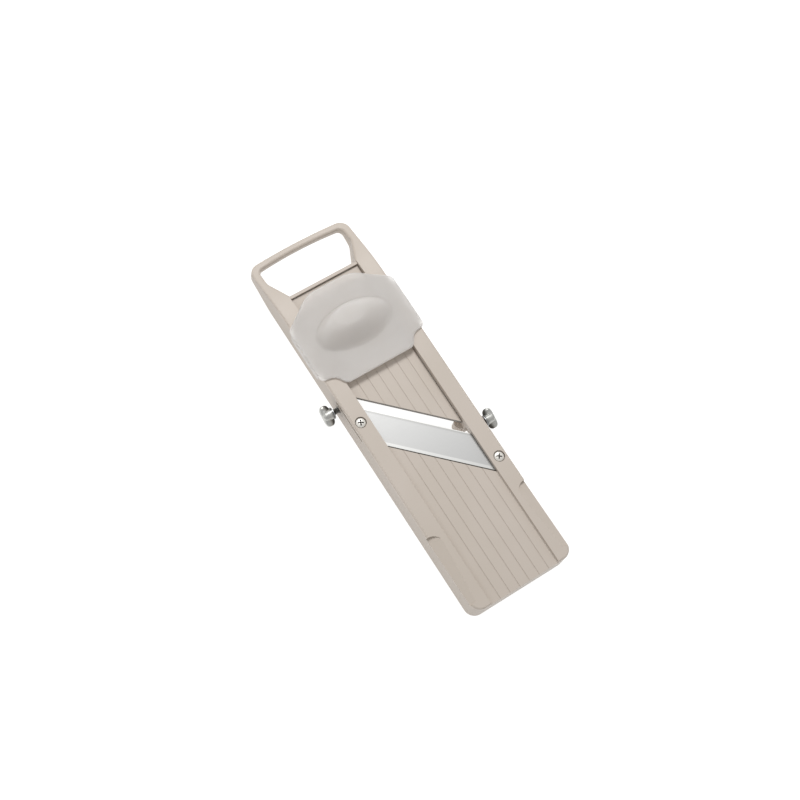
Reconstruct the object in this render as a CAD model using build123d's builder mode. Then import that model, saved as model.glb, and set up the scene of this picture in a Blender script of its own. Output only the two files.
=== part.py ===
from build123d import *
import os

os.makedirs("parts", exist_ok=True)

# Adjustable hand slicer: a one-piece moulded frame with a handle loop, a hinged infeed
# plate set by a screw from below, a slanted blade held by two screws, two wing screws in
# the sides, and a sliding hand guard.  +Y runs from the foot to the handle, +X to the
# right rail, +Z up; the origin is under the middle of the frame.  Millimetres.

# Frame
LENGTH = 327.6
WIDTH = 91.0
HEIGHT = 23.5
HALF_L = LENGTH / 2
HALF_W = WIDTH / 2
FOOT_CORNER = 9.0
HANDLE_CORNER = 9.0
GRIP_BOW = 2.0            # the grip bar is bowed outward by this much
RIM_R = 1.5               # rounding of the top edge all round
LOOP_R = 2.0              # rounding of the inner edges of the handle loop
BASE_R = 0.8
BAY = 31.5                # half the width between the rails
WALL = 3.0
TABLE_TOP = 20.8
TABLE_UNDER = 17.6
TABLE_SIDE_R = 1.0        # inside corners between the table and the rails
LEDGE_UNDER = 15.0        # underside of the thick strip that carries the blade
LEDGE_BACK = 6.0          # and how far that strip runs on behind the blade
CROSSBAR_Y0 = 121.0
CROSSBAR_Y1 = 123.5
SLOPE_START = 104.0       # where the rails begin to fall towards the grip
RISE_START = 126.0        # where their undersides begin to rise towards it
GRIP_TOP = 13.0
GRIP_UNDER = 6.2
LOOP_HALF = 39.0          # half the width of the handle opening
LOOP_END = 156.2
LOOP_FLARE = 142.0        # where its flared sides become straight
LOOP_CORNER = 5.0
LOOP_FLARE_R = 10.0
SCOOP_DEPTH = 3.6         # of the thumb rests, at the wall and at their deep end
SCOOP_LEAN = 0.36         # slope of their floors, which rise inward
SCOOP_FADE = 0.030        # and which rise towards the foot
SCOOP_Y1 = -96.5
SCOOP_LENGTH = 60.0
SCOOP_W = 21.0
SCOOP_CORNER = 9.0

# Blade and the slanted slicing gap.  Every slanted line is y = y0 - SLANT * x.
SLANT = 0.96
CUT_Y = -13.4             # cutting edge
REAR_Y = -48.5            # rear edge of the blade
LEDGE_Y = -25.0           # front of the ledge under the blade
PLATE_Y = -2.35           # front edge of the infeed plate
BLADE_BOTTOM = 18.0
BLADE_T = 1.2
BLADE_X0 = -44.4
BLADE_X1 = 42.2
BEVEL_W = 3.0             # of the ground front edge
BEVEL_H = 1.0
SLOT_CLEAR = 0.8          # the slots stand open above and in front of the blade
REAR_GAP = 1.3            # between the blade's rear edge and the table

# Grooves in the plate and in the table
GROOVE_PITCH = 9.0
GROOVE_COUNT = 6
GROOVE_W = 0.8
GROOVE_D = 0.35

# Blade screws (M4 pan heads) and their nuts
BLADE_SCREW_X = 39.05
BLADE_SCREW_Y = (6.4, -70.8)          # left, right
M4_R = 2.0
PAN_R = 4.0
PAN_H = 2.3
PAN_SEAT_Z = 20.9
PAN_ROUND = 0.9
PAN_CLEAR = 0.6                       # the counterbore stands this far off the head
M4_CLEAR = 0.3                        # radial clearance of the holes for the screws
CROSS_L = 4.4
CROSS_W = 0.9
CROSS_D = 1.3
CROSS_TURN = (-26, -34)               # left, right, in degrees
M4_NUT_AF = 7.0
M4_NUT_H = 3.2
M4_NUT_Z = 10.5

# Wing screws (M5) in the sides
THUMB_Y = (26.5, -39.5)               # left, right
THUMB_Z = 12.0
M5_R = 2.5
THUMB_HUB = (51.5, 49.6)              # inner face of each wing's hub: how far it is in
STUD_IN = 16.0                        # the stud's length inward of that face
STUD_OUT = 3.0                        # and its length cast into the wing
HUB_L = 8.2
HUB_R = 4.5
WING_TILT = 0.34                      # the wings stop this far from level, as a slope
WING_HALF_T = 2.4
WASHER_T = 1.0
THUMB_NUT_X = 38.0
THUMB_NUT_H = 4.0
M5_NUT_AF = 8.0
SIDE_SLOT = (5.0, 8.0, 17.0)          # slot beside each stud: into the rail, along it, up
THUMB_POCKET = 4.8                    # the nut's pocket ends this far above the stud
WASHER_R = 4.9
HOLE_CLEAR = 0.4                      # radial clearance of plain holes round the studs
NUT_CLEAR = 0.1                       # clearance of a nut in its pocket, a side
THREAD_CLEAR = 0.06                   # running clearance of a thread in its nut
LUG_R = 4.5                           # round seats beside the side slots
LUG_OFFSET = 9.3
LUG_TOP = 10.4

# Infeed plate and hinge
PLATE_HALF = 30.9
PLATE_TOP = 18.4
PLATE_T = 2.8
PLATE_UNDER = PLATE_TOP - PLATE_T
PLATE_END = 120.4
HINGE_Y = 117.4
HINGE_Z = 16.1
HINGE_WALL = 0.6          # the round edge swells this far past the plate
PIN_R = 1.5
PIN_HALF = 34.0
PIN_CHAMFER = 0.3
PLATE_MARGIN = 6.0        # the grooves stop this far from the hinge
RING_R = 6.5              # ring under the plate round the screw's tip
RING_H = 1.5
RING_CLEAR = 0.6

# Adjusting screw under the plate
ADJUST_Y = 40.0
BRIDGE_Z0 = 7.5
BRIDGE_Z1 = 11.5
BRIDGE_W = 14.0
KNOB_R = 12.0
KNOB_Z0 = 3.0
KNOB_Z1 = 6.9
KNOB_FLUTES = 20
FLUTE_R = 1.3
FLUTE_OUT = 0.7           # their centres stand this far outside the knob
ROD_SHOULDER = 12.8
NECK_R = 1.5
NECK_L = 1.9
TIP_R = 3.4
TIP_Z0 = 12.9
TIP_Z1 = 15.35
THIN_NUT_H = 2.7
THIN_NUT_Z = 8.2

# Hand guard
GUARD_Y = 77.5                        # middle of the guard at rest
GUARD_Z = HEIGHT + 0.15
GUARD_T = 2.0
GUARD_HALF = 48.2
GUARD_FOOT = ((29.0, 38.0), (33.4, 42.0), (37.0, 46.6), (43.0, 48.3))
GUARD_SIDE = ((45.0, 48.6), (48.2, 52.5))
GUARD_HEAD = ((48.2, 94.0), (45.0, 99.5), (33.0, 107.8), (24.0, 114.0), (14.0, 117.0))
LIP_IN = 46.0
LIP_Y0 = 53.0
LIP_Y1 = 94.0
LIP_Z = 17.6
DOME_A = 32.5
DOME_B = 18.0
DOME_H = 17.5
DOME_TAPER = 14
DOME_WALL = 2.0
DOME_ROUND = 6.0                      # rounding of the grip's top, outside
SPIKE_H = 2.2
SPIKE_R = 1.2
SPIKE_TIP = 0.35
SPIKE_ROWS = (-31.0, -25.0, 25.0, 31.0)
SPIKE_COUNT = 6
SPIKE_PITCH = 9.0


def slanted(y0, x0, x1, y1, dy0=0.0, dy1=0.0):
    """Corners of the strip between two slanted lines, from x0 to x1."""
    return [
        (x0, y0 - SLANT * x0 + dy0),
        (x1, y0 - SLANT * x1 + dy0),
        (x1, y1 - SLANT * x1 + dy1),
        (x0, y1 - SLANT * x0 + dy1),
    ]


def finish(piece, name):
    """Label a finished piece and write its STEP file."""
    piece.part.label = name
    export_step(piece.part, f"parts/{name}.step")


# --------------------------------------------------------------------------- frame
# One ABS moulding: two rails as channels open below, the outfeed table between them,
# a crossbar, a bridge for the adjusting screw and the handle loop.
LEFT_POCKETS = (
    (-150, -112, 18.3), (-109, -71, 18.3), (-68, -30, 20.3), (-27, -4, 15.5),
    (36, 72, 20.3), (75, 110, 20.3),
)
RIGHT_POCKETS = (
    (-150, -118, 18.3), (-115, -83, 15.5), (-58, -50, 15.5), (-29, 5, 20.3),
    (8, 42, 20.3), (45, 77, 20.3), (80, 110, 20.3),
)
POCKET_X = (BAY + WALL + HALF_W - WALL) / 2
POCKET_W = HALF_W - BAY - 2 * WALL
POCKET_CORNER = 1.5

with BuildPart() as frame:
    with BuildSketch() as outline:
        with BuildLine():
            Polyline(
                (-HALF_W, HALF_L - GRIP_BOW), (-HALF_W, -HALF_L),
                (HALF_W, -HALF_L), (HALF_W, HALF_L - GRIP_BOW),
            )
            ThreePointArc(
                (-HALF_W, HALF_L - GRIP_BOW), (0, HALF_L), (HALF_W, HALF_L - GRIP_BOW)
            )
        make_face()
        fillet(outline.vertices().group_by(Axis.Y)[0], FOOT_CORNER)
        fillet(outline.vertices().group_by(Axis.Y)[-1], HANDLE_CORNER)
    extrude(amount=HEIGHT)

    # The top falls in a long S from the rails to the grip.
    with BuildSketch(Plane.YZ.offset(-HALF_W - 1)) as above_grip:
        with BuildLine():
            Spline(
                (SLOPE_START, HEIGHT), (HALF_L + 1, GRIP_TOP),
                tangents=((1, 0), (1, -0.12)),
            )
            Polyline(
                (HALF_L + 1, GRIP_TOP), (HALF_L + 1, HEIGHT + 1),
                (SLOPE_START, HEIGHT + 1), (SLOPE_START, HEIGHT),
            )
        make_face()
    extrude(amount=WIDTH + 2, mode=Mode.SUBTRACT)
    # Its underside rises from the rails to the grip.
    with BuildSketch(Plane.YZ.offset(-HALF_W - 1)) as below_grip:
        with BuildLine():
            Spline(
                (RISE_START, 0), (HALF_L + 1, GRIP_UNDER),
                tangents=((1, 0.1), (1, 0)),
            )
            Polyline(
                (HALF_L + 1, GRIP_UNDER), (HALF_L + 1, -1), (RISE_START, -1), (RISE_START, 0),
            )
        make_face()
    extrude(amount=WIDTH + 2, mode=Mode.SUBTRACT)
    rim = frame.edges().filter_by(lambda e: e.bounding_box().min.Z > GRIP_TOP - 1)
    rim = rim.filter_by(lambda e: e.length < WIDTH - 3 or abs(e.center().X) > 1)
    fillet(rim, RIM_R)
    # Handle opening, flared from the crossbar to the grip.
    with BuildSketch() as opening:
        with BuildLine():
            Polyline(
                (-LOOP_HALF, LOOP_END), (-LOOP_HALF, LOOP_FLARE), (1 - BAY, CROSSBAR_Y1),
                (BAY - 1, CROSSBAR_Y1), (LOOP_HALF, LOOP_FLARE), (LOOP_HALF, LOOP_END),
            )
            ThreePointArc(
                (-LOOP_HALF, LOOP_END), (0, LOOP_END + GRIP_BOW), (LOOP_HALF, LOOP_END)
            )
        make_face()
        fillet(opening.vertices().group_by(Axis.Y)[-1], LOOP_CORNER)
        flare = opening.vertices().filter_by(lambda v: abs(v.Y - LOOP_FLARE) < 0.1)
        fillet(flare, LOOP_FLARE_R)
    extrude(amount=HEIGHT, mode=Mode.SUBTRACT)
    loop_edges = frame.edges().filter_by(
        lambda e: abs(e.center().X) < LOOP_HALF + 0.1
        and CROSSBAR_Y1 + 0.1 < e.bounding_box().max.Y < LOOP_END + GRIP_BOW + 0.1
    )
    above = loop_edges.filter_by(lambda e: e.bounding_box().min.Z > GRIP_TOP - 1)
    below = loop_edges.filter_by(
        lambda e: e.bounding_box().max.Z < GRIP_UNDER and e.bounding_box().max.Y > RISE_START + 1
    )
    fillet(above + below, LOOP_R)
    under_rim = frame.edges().filter_by(
        lambda e: e.bounding_box().max.Z < GRIP_UNDER
        and (abs(e.center().X) > LOOP_HALF + 3 or abs(e.center().Y) > LOOP_END + 3)
    )
    fillet(under_rim, BASE_R)

    # Bay between the rails: shallow over the table, right through ahead of the blade.
    with BuildSketch(Plane.XY.offset(TABLE_TOP)):
        with Locations((0, (CROSSBAR_Y1 - HALF_L - 1) / 2)):
            Rectangle(2 * BAY, CROSSBAR_Y1 + HALF_L + 1)
    extrude(amount=HEIGHT, mode=Mode.SUBTRACT)
    with BuildSketch():
        Polygon(
            (-BAY, CROSSBAR_Y0), (-BAY, LEDGE_Y + SLANT * BAY),
            (BAY, LEDGE_Y - SLANT * BAY), (BAY, CROSSBAR_Y0), align=None,
        )
    extrude(amount=HEIGHT, mode=Mode.SUBTRACT)
    # Blade seat: a ledge in the bay, and a slot into each rail.
    with BuildSketch(Plane.XY.offset(BLADE_BOTTOM)):
        Polygon(*slanted(LEDGE_Y, -BAY, BAY, REAR_Y, 1, -REAR_GAP), align=None)
    extrude(amount=HEIGHT, mode=Mode.SUBTRACT)
    with BuildSketch(Plane.XY.offset(BLADE_BOTTOM)):
        Polygon(
            *slanted(CUT_Y, -HALF_W - 1, 1 - BAY, REAR_Y, SLOT_CLEAR, -REAR_GAP), align=None
        )
        Polygon(
            *slanted(CUT_Y, BAY - 1, BLADE_X1 + 0.5, REAR_Y, SLOT_CLEAR, -REAR_GAP), align=None
        )
    extrude(amount=BLADE_T + SLOT_CLEAR, mode=Mode.SUBTRACT)
    # Space under the table, thicker left where the blade is carried.
    with BuildSketch():
        Polygon(
            (-BAY, -HALF_L + WALL), (BAY, -HALF_L + WALL),
            (BAY, LEDGE_Y - SLANT * BAY + 1), (-BAY, LEDGE_Y + SLANT * BAY + 1), align=None,
        )
    extrude(amount=LEDGE_UNDER, mode=Mode.SUBTRACT)
    with BuildSketch():
        Polygon(
            (-BAY, -HALF_L + WALL), (BAY, -HALF_L + WALL),
            (BAY, REAR_Y - LEDGE_BACK - SLANT * BAY),
            (-BAY, REAR_Y - LEDGE_BACK + SLANT * BAY), align=None,
        )
    extrude(amount=TABLE_UNDER, mode=Mode.SUBTRACT)
    # Soft inside corners where the table meets the rails.
    table_sides = frame.edges().filter_by(Axis.Y).filter_by(
        lambda e: abs(e.center().Z - TABLE_TOP) < 0.01 and e.center().Y < -70
        and abs(abs(e.center().X) - BAY) < 0.01
    )
    fillet(table_sides, TABLE_SIDE_R)
    # Grooves in the table, running out at the foot.
    for i in range(GROOVE_COUNT):
        x = (i - (GROOVE_COUNT - 1) / 2) * GROOVE_PITCH
        y_end = REAR_Y - SLANT * x - 0.5
        with BuildSketch(Plane.XY.offset(TABLE_TOP - GROOVE_D)):
            with Locations((x, (y_end - HALF_L) / 2)):
                Rectangle(GROOVE_W, y_end + HALF_L)
        extrude(amount=GROOVE_D, mode=Mode.SUBTRACT)

    # Rails are channels open below.
    for side, pockets in ((-1, LEFT_POCKETS), (1, RIGHT_POCKETS)):
        for y0, y1, roof in pockets:
            with BuildSketch():
                with Locations((side * POCKET_X, (y0 + y1) / 2)):
                    RectangleRounded(POCKET_W, y1 - y0, POCKET_CORNER)
            extrude(amount=roof, mode=Mode.SUBTRACT)

    # Bridge under the plate, with a hexagonal seat for the adjusting nut.
    with BuildSketch(Plane.XY.offset(BRIDGE_Z0)):
        with Locations((0, ADJUST_Y)):
            Rectangle(2 * BAY + 1, BRIDGE_W)
    extrude(amount=BRIDGE_Z1 - BRIDGE_Z0)
    with BuildSketch(Plane.XY.offset(BRIDGE_Z0)):
        with Locations((0, ADJUST_Y)):
            Circle(M5_R + HOLE_CLEAR)
    extrude(amount=BRIDGE_Z1 - BRIDGE_Z0, mode=Mode.SUBTRACT)
    with BuildSketch(Plane.XY.offset(THIN_NUT_Z)):
        with Locations((0, ADJUST_Y)):
            RegularPolygon(M5_NUT_AF / 2 + NUT_CLEAR, 6, major_radius=False)
    extrude(amount=BRIDGE_Z1 - THIN_NUT_Z, mode=Mode.SUBTRACT)

    # Round seat lugs inside the rails, under the corners of the gap.
    for side, y in ((-1, THUMB_Y[0] + LUG_OFFSET), (1, THUMB_Y[1] + LUG_OFFSET)):
        with BuildSketch():
            with Locations((side * BAY, y)):
                Circle(LUG_R)
            with Locations((side * (BAY + LUG_R), y)):
                Rectangle(2 * LUG_R, 2 * LUG_R + 1, mode=Mode.SUBTRACT)
        extrude(amount=LUG_TOP)

    # Side slots, nut pockets and holes of the two wing screws.
    for side, y in ((-1, THUMB_Y[0]), (1, THUMB_Y[1])):
        with BuildSketch():
            with Locations((side * (BAY + SIDE_SLOT[0] / 2), y - 1)):
                Rectangle(SIDE_SLOT[0], SIDE_SLOT[1])
        extrude(amount=SIDE_SLOT[2], mode=Mode.SUBTRACT)
        with BuildSketch():
            with Locations((side * (THUMB_NUT_X + THUMB_NUT_H / 2), y)):
                Rectangle(THUMB_NUT_H + 2 * NUT_CLEAR, M5_NUT_AF + 2 * NUT_CLEAR)
        extrude(amount=THUMB_Z + THUMB_POCKET, mode=Mode.SUBTRACT)
        with BuildSketch(Plane.YZ.offset(side * BAY)):
            with Locations((y, THUMB_Z)):
                Circle(M5_R + HOLE_CLEAR)
        extrude(amount=side * (HALF_W - BAY), mode=Mode.SUBTRACT)

    # Blade screws: counterbored from above, nut pockets from below.
    for side, y in ((-1, BLADE_SCREW_Y[0]), (1, BLADE_SCREW_Y[1])):
        with BuildSketch():
            with Locations((side * BLADE_SCREW_X, y)):
                Circle(M4_R + M4_CLEAR)
        extrude(amount=HEIGHT, mode=Mode.SUBTRACT)
        with BuildSketch(Plane.XY.offset(PAN_SEAT_Z)):
            with Locations((side * BLADE_SCREW_X, y)):
                Circle(PAN_R + PAN_CLEAR)
        extrude(amount=HEIGHT, mode=Mode.SUBTRACT)
        with BuildSketch():
            with Locations((side * BLADE_SCREW_X, y)):
                RegularPolygon(M4_NUT_AF / 2 + NUT_CLEAR, 6, major_radius=False)
        extrude(amount=M4_NUT_Z + M4_NUT_H, mode=Mode.SUBTRACT)

    # Thumb rests: facets cut across the outer shoulders, deep at the handle end, where
    # they start with a crescent, and running out towards the foot.
    for side in (-1, 1):
        facet = Plane(
            origin=(side * HALF_W, SCOOP_Y1, HEIGHT - SCOOP_DEPTH), x_dir=(1, 0, 0),
            z_dir=(side * SCOOP_LEAN, SCOOP_FADE, 1),
        )
        with BuildSketch(facet):
            with Locations((0, -SCOOP_LENGTH / 2)):
                RectangleRounded(SCOOP_W, SCOOP_LENGTH, SCOOP_CORNER)
        extrude(amount=HEIGHT, mode=Mode.SUBTRACT)

    # Holes for the hinge pin.
    with BuildSketch(Plane.YZ.offset(-PIN_HALF)):
        with Locations((HINGE_Y, HINGE_Z)):
            Circle(PIN_R)
    extrude(amount=2 * PIN_HALF, mode=Mode.SUBTRACT)
finish(frame, "frame")

# ---------------------------------------------------------------------- infeed plate
# ABS plate on a cross pin at its handle end; a ring under it locates the screw's tip.
with BuildPart() as infeed_plate:
    with BuildSketch(Plane.XY.offset(PLATE_UNDER)):
        Polygon(
            (-PLATE_HALF, PLATE_END), (-PLATE_HALF, PLATE_Y + SLANT * PLATE_HALF),
            (PLATE_HALF, PLATE_Y - SLANT * PLATE_HALF), (PLATE_HALF, PLATE_END), align=None,
        )
    extrude(amount=PLATE_T)
    for i in range(GROOVE_COUNT):
        x = (i - (GROOVE_COUNT - 1) / 2) * GROOVE_PITCH
        y_end = PLATE_Y - SLANT * x - 1
        with BuildSketch(Plane.XY.offset(PLATE_TOP - GROOVE_D)):
            with Locations((x, (y_end + HINGE_Y - PLATE_MARGIN) / 2)):
                Rectangle(GROOVE_W, HINGE_Y - PLATE_MARGIN - y_end)
        extrude(amount=GROOVE_D, mode=Mode.SUBTRACT)
    # Thick hinge edge, rounded below, bored for the pin.
    with BuildSketch(Plane.YZ.offset(-PLATE_HALF)):
        with Locations((HINGE_Y, HINGE_Z)):
            Circle(PLATE_TOP - HINGE_Z + HINGE_WALL)
        with Locations((HINGE_Y, HINGE_Z + 5 + PLATE_TOP - HINGE_Z)):
            Rectangle(10, 10, mode=Mode.SUBTRACT)
    extrude(amount=2 * PLATE_HALF)
    with BuildSketch(Plane.YZ.offset(-PLATE_HALF)):
        with Locations((HINGE_Y, HINGE_Z)):
            Circle(PIN_R + THREAD_CLEAR)
    extrude(amount=2 * PLATE_HALF, mode=Mode.SUBTRACT)
    with BuildSketch(Plane.XY.offset(PLATE_UNDER - RING_H)):
        with Locations((0, ADJUST_Y)):
            Circle(RING_R)
            Circle(TIP_R + RING_CLEAR, mode=Mode.SUBTRACT)
    extrude(amount=RING_H)
finish(infeed_plate, "infeed_plate")

with BuildPart() as hinge_pin:
    with BuildSketch(Plane.YZ.offset(-PIN_HALF)):
        with Locations((HINGE_Y, HINGE_Z)):
            Circle(PIN_R)
    extrude(amount=2 * PIN_HALF)
    chamfer(hinge_pin.edges(), PIN_CHAMFER)
finish(hinge_pin, "hinge_pin")

# ----------------------------------------------------------------------------- blade
# Flat stainless strip, ground to a bevel along its front edge, with two screw holes.
with BuildPart() as blade:
    with BuildSketch(Plane.XY.offset(BLADE_BOTTOM)):
        Polygon(*slanted(CUT_Y, BLADE_X0, BLADE_X1, REAR_Y), align=None)
        for side, y in ((-1, BLADE_SCREW_Y[0]), (1, BLADE_SCREW_Y[1])):
            with Locations((side * BLADE_SCREW_X, y)):
                Circle(M4_R + M4_CLEAR, mode=Mode.SUBTRACT)
    extrude(amount=BLADE_T)
    edge = blade.edges().filter_by(
        lambda e: abs(e.center().Y - CUT_Y + SLANT * e.center().X) < 0.01
        and e.center().Z < BLADE_BOTTOM + 0.01 and e.length > 50
    )
    chamfer(edge, BEVEL_H, BEVEL_W)
finish(blade, "blade")

# --------------------------------------------------------------- blade screws and nuts
for name, side, y, turn in (
    ("left", -1, BLADE_SCREW_Y[0], CROSS_TURN[0]),
    ("right", 1, BLADE_SCREW_Y[1], CROSS_TURN[1]),
):
    with BuildPart() as screw:
        with BuildSketch(Plane.XY.offset(PAN_SEAT_Z)):
            with Locations((side * BLADE_SCREW_X, y)):
                Circle(PAN_R)
        extrude(amount=PAN_H)
        fillet(screw.edges().group_by(Axis.Z)[-1], PAN_ROUND)
        with BuildSketch(Plane.XY.offset(M4_NUT_Z - 1)):
            with Locations((side * BLADE_SCREW_X, y)):
                Circle(M4_R)
        extrude(amount=PAN_SEAT_Z - M4_NUT_Z + 1)
        with BuildSketch(Plane.XY.offset(PAN_SEAT_Z + PAN_H - CROSS_D)):
            with Locations((side * BLADE_SCREW_X, y)):
                Rectangle(CROSS_L, CROSS_W, rotation=turn)
                Rectangle(CROSS_W, CROSS_L, rotation=turn)
        extrude(amount=CROSS_D, mode=Mode.SUBTRACT)
    finish(screw, f"blade_screw_{name}")

    with BuildPart() as nut:
        with BuildSketch(Plane.XY.offset(M4_NUT_Z)):
            with Locations((side * BLADE_SCREW_X, y)):
                RegularPolygon(M4_NUT_AF / 2, 6, major_radius=False)
                Circle(M4_R + THREAD_CLEAR, mode=Mode.SUBTRACT)
        extrude(amount=M4_NUT_H)
    finish(nut, f"blade_nut_{name}")

# --------------------------------------------------------------------- wing screws
# Each is a steel stud cast into a zinc wing, with a washer under the wing and a hexagon
# nut held in a pocket inside the rail.  The ears are outlined from the hub's inner face
# outward and from the axis sideways.
WING_EAR = (
    (0, 0), (0, 4.6), (1.0, 7.2), (3.0, 8.6), (5.4, 8.6), (7.4, 7.4), (8.4, 4.4), (8.5, 0),
)
for name, side, y, hub_x in (
    ("left", -1, THUMB_Y[0], THUMB_HUB[0]),
    ("right", 1, THUMB_Y[1], THUMB_HUB[1]),
):
    axis_plane = Plane(origin=(0, y, THUMB_Z), x_dir=(0, 1, 0), z_dir=(side, 0, 0))
    wing_plane = Plane(origin=(0, y, THUMB_Z), x_dir=(1, 0, 0), z_dir=(0, -WING_TILT, 1))

    with BuildPart() as stud:
        with BuildSketch(axis_plane.offset(hub_x - STUD_IN)):
            Circle(M5_R)
        extrude(amount=STUD_IN + STUD_OUT)
        chamfer(stud.edges().sort_by(Axis.X)[0 if side > 0 else -1], 0.6)
    finish(stud, f"thumb_stud_{name}")

    with BuildPart() as wing:
        with BuildSketch(axis_plane.offset(hub_x)):
            Circle(HUB_R)
        extrude(amount=HUB_L, taper=4)
        fillet(wing.faces().sort_by(Axis.X)[-1 if side > 0 else 0].edges(), 1.2)
        for up in (-1, 1):
            with BuildSketch(wing_plane.offset(-WING_HALF_T)) as ear:
                Polygon(*[(side * (hub_x + px), up * py) for px, py in WING_EAR], align=None)
                fillet(ear.vertices().sort_by(Axis.Y if up > 0 else -Axis.Y)[-6:], 1.0)
            extrude(amount=2 * WING_HALF_T)
        with BuildSketch(axis_plane.offset(hub_x)):
            Circle(M5_R)
        extrude(amount=STUD_OUT, mode=Mode.SUBTRACT)
    finish(wing, f"thumb_wing_{name}")

    with BuildPart() as washer:
        with BuildSketch(axis_plane.offset(hub_x - WASHER_T)):
            Circle(WASHER_R)
            Circle(M5_R + THREAD_CLEAR, mode=Mode.SUBTRACT)
        extrude(amount=WASHER_T - 0.05)
    finish(washer, f"thumb_washer_{name}")

    with BuildPart() as thumb_nut:
        with BuildSketch(axis_plane.offset(THUMB_NUT_X)):
            RegularPolygon(M5_NUT_AF / 2, 6, major_radius=False, rotation=30)
            Circle(M5_R + THREAD_CLEAR, mode=Mode.SUBTRACT)
        extrude(amount=THUMB_NUT_H)
    finish(thumb_nut, f"thumb_nut_{name}")

# ------------------------------------------------------------------ adjusting screw
# M5 rod through a nut in the bridge; a fluted knob below, a swivelling cap on top.
with BuildPart() as adjusting_rod:
    with BuildSketch(Plane.XY.offset(KNOB_Z0)):
        with Locations((0, ADJUST_Y)):
            Circle(M5_R)
    extrude(amount=ROD_SHOULDER - KNOB_Z0)
    with BuildSketch(Plane.XY.offset(ROD_SHOULDER)):
        with Locations((0, ADJUST_Y)):
            Circle(NECK_R)
    extrude(amount=NECK_L)
finish(adjusting_rod, "adjusting_rod")

with BuildPart() as adjusting_knob:
    with BuildSketch(Plane.XY.offset(KNOB_Z0)):
        with Locations((0, ADJUST_Y)):
            Circle(KNOB_R)
            with PolarLocations(KNOB_R + FLUTE_OUT, KNOB_FLUTES):
                Circle(FLUTE_R, mode=Mode.SUBTRACT)
            Circle(M5_R, mode=Mode.SUBTRACT)
    extrude(amount=KNOB_Z1 - KNOB_Z0)
finish(adjusting_knob, "adjusting_knob")

with BuildPart() as adjusting_nut:
    with BuildSketch(Plane.XY.offset(THIN_NUT_Z)):
        with Locations((0, ADJUST_Y)):
            RegularPolygon(M5_NUT_AF / 2, 6, major_radius=False)
            Circle(M5_R + THREAD_CLEAR, mode=Mode.SUBTRACT)
    extrude(amount=THIN_NUT_H)
finish(adjusting_nut, "adjusting_nut")

with BuildPart() as adjusting_tip:
    with BuildSketch(Plane.XY.offset(TIP_Z0)):
        with Locations((0, ADJUST_Y)):
            Circle(TIP_R)
    extrude(amount=TIP_Z1 - TIP_Z0)
    fillet(adjusting_tip.edges().group_by(Axis.Z)[-1], 1.0)
    with BuildSketch(Plane.XY.offset(TIP_Z0)):
        with Locations((0, ADJUST_Y)):
            Circle(NECK_R + THREAD_CLEAR)
    extrude(amount=NECK_L, mode=Mode.SUBTRACT)
finish(adjusting_tip, "adjusting_tip")

# ------------------------------------------------------------------------ hand guard
# Frosted PP moulding: a flat sheet on the rails with lips down their outer faces, a
# hollow oval grip in the middle and short spikes below.
with BuildPart() as guard_hollow:
    with BuildSketch(Plane.XY.offset(GUARD_Z)):
        with Locations((0, GUARD_Y)):
            Ellipse(DOME_A - DOME_WALL, DOME_B - DOME_WALL)
    extrude(amount=DOME_H, taper=DOME_TAPER)
    fillet(guard_hollow.edges().group_by(Axis.Z)[-1], DOME_ROUND - DOME_WALL / 2)

with BuildPart() as guard:
    with BuildSketch(Plane.XY.offset(GUARD_Z)):
        with BuildLine():
            Line((0, GUARD_FOOT[0][1]), GUARD_FOOT[0])
            Spline(*GUARD_FOOT, tangents=((1, 0), (1, 0.15)))
            Line(GUARD_FOOT[-1], GUARD_SIDE[0])
            Spline(*GUARD_SIDE, tangents=((1, 0.15), (0, 1)))
            Line(GUARD_SIDE[-1], GUARD_HEAD[0])
            Spline(*GUARD_HEAD, tangents=((0, 1), (-1, 0.1)))
            Line(GUARD_HEAD[-1], (0, GUARD_HEAD[-1][1]))
            mirror(about=Plane.YZ)
        make_face()
    extrude(amount=GUARD_T)
    for side in (-1, 1):
        with BuildSketch(Plane.XY.offset(LIP_Z)):
            with Locations((side * (LIP_IN + GUARD_HALF) / 2, (LIP_Y0 + LIP_Y1) / 2)):
                Rectangle(GUARD_HALF - LIP_IN, LIP_Y1 - LIP_Y0)
        extrude(amount=GUARD_Z - LIP_Z)
    with BuildSketch(Plane.XY.offset(GUARD_Z + GUARD_T)):
        with Locations((0, GUARD_Y)):
            Ellipse(DOME_A, DOME_B)
    extrude(amount=DOME_H, taper=DOME_TAPER)
    fillet(guard.edges().group_by(Axis.Z)[-1], DOME_ROUND)
    add(guard_hollow.part, mode=Mode.SUBTRACT)
    for row in SPIKE_ROWS:
        for i in range(SPIKE_COUNT):
            x = (i - (SPIKE_COUNT - 1) / 2) * SPIKE_PITCH
            with Locations(
                Location((x, GUARD_Y + row, GUARD_Z - SPIKE_H / 2), (180, 0, 0))
            ):
                Cone(SPIKE_R, SPIKE_TIP, SPIKE_H)
finish(guard, "guard")
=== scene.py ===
import math

import bmesh
import bpy
import numpy as np
from mathutils import Matrix, Vector


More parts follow.
